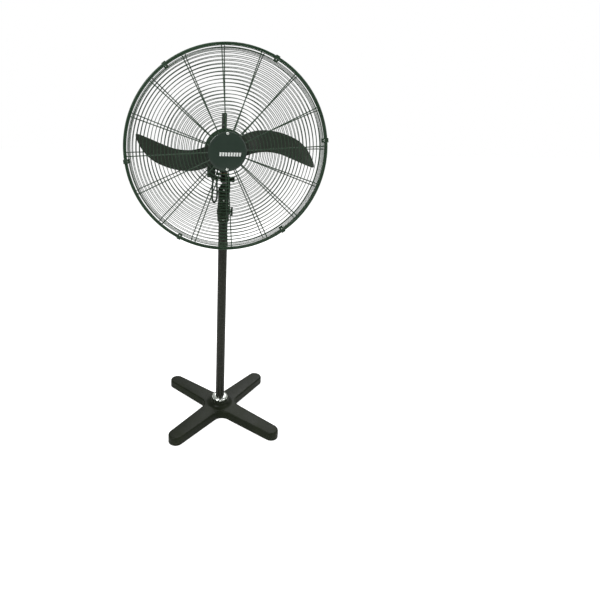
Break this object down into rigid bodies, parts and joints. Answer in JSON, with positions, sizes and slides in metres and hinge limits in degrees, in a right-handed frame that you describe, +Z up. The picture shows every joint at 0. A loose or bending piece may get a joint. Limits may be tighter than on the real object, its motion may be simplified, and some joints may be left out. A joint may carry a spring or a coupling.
{
  "type": "pedestal fan",
  "caption": "Industrial pedestal fan: curved propeller in a round wire cage on an oscillating, tilting motor head, with a height-adjustable pole and a four-legged cross base.",
  "frame": {"origin": "on the floor, on the pole's axis, under the middle of the cross base", "axes": "+Z up along the pole, -Y is the side that the fan blows towards, +X to the right of someone who looks at the fan's front"},
  "size_m": [0.7392, 0.4686, 1.5295],
  "materials": {
    "black_casting": "satin black paint over a casting",
    "pole_paint": "satin black powder coat",
    "motor_paint": "satin black enamel",
    "guard_paint": "semi-gloss dark green-black powder coat",
    "blade_paint": "satin dark enamel over pressed aluminium",
    "badge_plastic": "satin moulded",
    "black_plastic": "moulded",
    "black_nylon": "moulded",
    "rubber": "moulded",
    "chrome": "bright plated",
    "zinc_steel": "bright zinc",
    "bearing_steel": "ground",
    "core_steel": "laminated",
    "copper": "varnished enamelled wire",
    "bronze": "sintered",
    "lead_sheath": "smooth PVC sheath"
  },
  "bodies": {
    "stand": {"base_casting": "black_casting", "foot_pads": "rubber", "base_lock_ring": "chrome", "pole_set_screw": "zinc_steel", "outer_pole": "pole_paint", "mains_grommet": "rubber", "height_collar": "black_casting", "collar_bush": "black_nylon", "collar_screw": "zinc_steel"},
    "clamp": {"clamp_bar": "pole_paint"},
    "mast": {"inner_pole": "chrome", "neck_socket": "black_casting", "neck_screws": "zinc_steel", "tilt_bolt": "zinc_steel"},
    "tilt_hand_knob": {"tilt_knob": "black_plastic"},
    "swivel": {"swivel_block": "black_casting", "pivot_bush": "bronze", "link_stud": "zinc_steel", "block_gland": "black_plastic", "motor_lead": "lead_sheath"},
    "head": {"gearbox_housing": "black_casting", "gearbox_cover": "black_casting", "pivot_pin": "zinc_steel", "pivot_clip": "zinc_steel", "motor_shell": "motor_paint", "motor_front_cover": "motor_paint", "motor_rear_cover": "motor_paint", "stator_core": "core_steel", "stator_windings": "copper", "shaft_bearings": "bearing_steel", "switch_box": "motor_paint", "switch_box_cover": "motor_paint", "capacitor": "black_plastic", "speed_switch": "black_plastic", "box_gland": "black_plastic", "rear_guard_side": "guard_paint", "rear_guard_face": "guard_paint", "rear_guard_spokes": "guard_paint", "rear_guard_plate": "guard_paint", "guard_mount_screws": "zinc_steel", "front_guard_side": "guard_paint", "front_guard_face": "guard_paint", "front_guard_spokes": "guard_paint", "front_guard_plate": "guard_paint", "badge_disc": "badge_plastic", "badge_screws": "zinc_steel", "guard_clips": "guard_paint", "clip_screws": "zinc_steel"},
    "rotor": {"motor_shaft": "bearing_steel", "rotor_core": "core_steel", "worm": "bearing_steel", "blade_hub": "blade_paint", "blades": "blade_paint", "blade_rivets": "zinc_steel", "hub_nut": "zinc_steel"},
    "wheel_spindle": {"worm_wheel": "black_nylon"},
    "crank": {"crank_gear": "bearing_steel"},
    "link": {"drive_link": "zinc_steel"},
    "clutch": {"clutch_knob": "black_plastic"},
    "speed": {"speed_knob": "black_plastic"}
  },
  "joints": [
    {"name": "clamp_turn", "type": "hinge", "parent": "stand", "child": "clamp", "pos_m": [0.035, 0, 0.91], "axis": [1, 0, 0], "range_deg": [0, 360]},
    {"name": "mast_slide", "type": "slide", "parent": "stand", "child": "mast", "axis": [0, 0, 1], "range_m": [0, 0.3]},
    {"name": "tilt_knob_turn", "type": "hinge", "parent": "mast", "child": "tilt_hand_knob", "pos_m": [0.035, 0, 1.042], "axis": [1, 0, 0], "range_deg": [0, 360]},
    {"name": "head_tilt", "type": "hinge", "parent": "mast", "child": "swivel", "pos_m": [0, 0, 1.042], "axis": [1, 0, 0], "range_deg": [-20, 12]},
    {"name": "head_swing", "type": "hinge", "parent": "swivel", "child": "head", "pos_m": [0, 0, 1.06], "axis": [0, 0, 1], "range_deg": [-45, 45], "deforming": ["motor_lead"]},
    {"name": "rotor_spin", "type": "hinge", "parent": "head", "child": "rotor", "pos_m": [0, -0.155, 1.16], "axis": [0, 1, 0], "continuous": true},
    {"name": "wheel_spin", "type": "hinge", "parent": "head", "child": "wheel_spindle", "pos_m": [0.025, 0.027, 1.14], "axis": [0, 0, 1], "continuous": true},
    {"name": "crank_spin", "type": "hinge", "parent": "head", "child": "crank", "pos_m": [0, 0.04616, 1.12], "axis": [0, 0, 1], "continuous": true},
    {"name": "link_turn", "type": "hinge", "parent": "crank", "child": "link", "pos_m": [-0.013, 0.04616, 1.082], "axis": [0, 0, 1], "continuous": true},
    {"name": "clutch_lift", "type": "slide", "parent": "head", "child": "clutch", "axis": [0, 0, 1], "range_m": [0, 0.008]},
    {"name": "speed_turn", "type": "hinge", "parent": "head", "child": "speed", "pos_m": [-0.052, -0.02, 1.082], "axis": [0, 1, 0], "range_deg": [0, 135]}
  ],
  "couplings": [
    {"joint": "wheel_spin", "follows": "rotor_spin", "ratio": 0.041667},
    {"joint": "crank_spin", "follows": "rotor_spin", "ratio": -0.013021},
    {"joint": "link_turn", "follows": "rotor_spin", "ratio": 0.013021}
  ]
}
